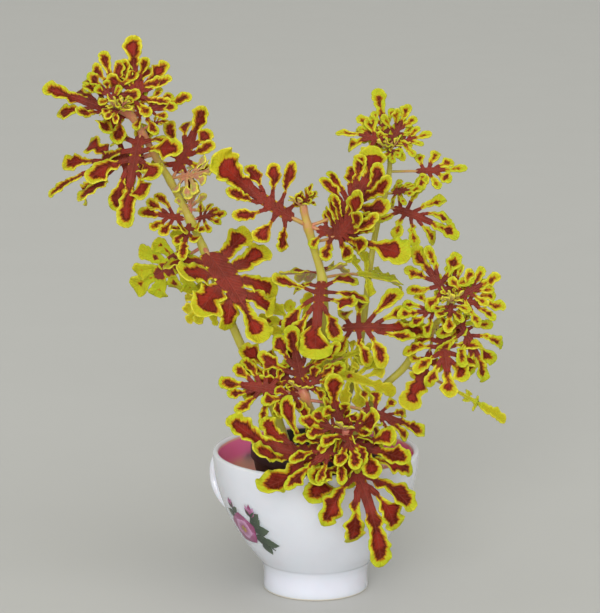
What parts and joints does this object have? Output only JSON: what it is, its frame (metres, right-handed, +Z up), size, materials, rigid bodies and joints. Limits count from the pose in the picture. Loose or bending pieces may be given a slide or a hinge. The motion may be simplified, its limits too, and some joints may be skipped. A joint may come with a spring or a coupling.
{
  "type": "potted coleus in a cup",
  "caption": "Coleus with deeply cut maroon, yellow-edged leaves on slender stems, in a small nursery pot that stands in a footed porcelain cup with a rose sprig.",
  "frame": {"origin": "centre of the cup's foot, on the surface that the cup stands on", "axes": "+Z up, +X to the right and +Y away from the front; the tallest stem leans towards -X and the cup's handle points to -X +Y"},
  "size_m": [0.193, 0.1099, 0.2325],
  "materials": {
    "porcelain": "white glossy glaze outside, pink glaze inside",
    "black_plastic": "thin black moulded plastic",
    "potting_soil": "dark crumbly potting soil",
    "foliage": "soft velvety leaf, maroon with yellow-green edges"
  },
  "bodies": {
    "root": {"cup": "porcelain", "nursery_pot": "black_plastic", "soil": "potting_soil", "left_shoot": "foliage", "centre_shoot": "foliage", "rear_shoot": "foliage", "right_shoot": "foliage", "front_shoot": "foliage", "middle_shoot": "foliage"}
  },
  "joints": []
}
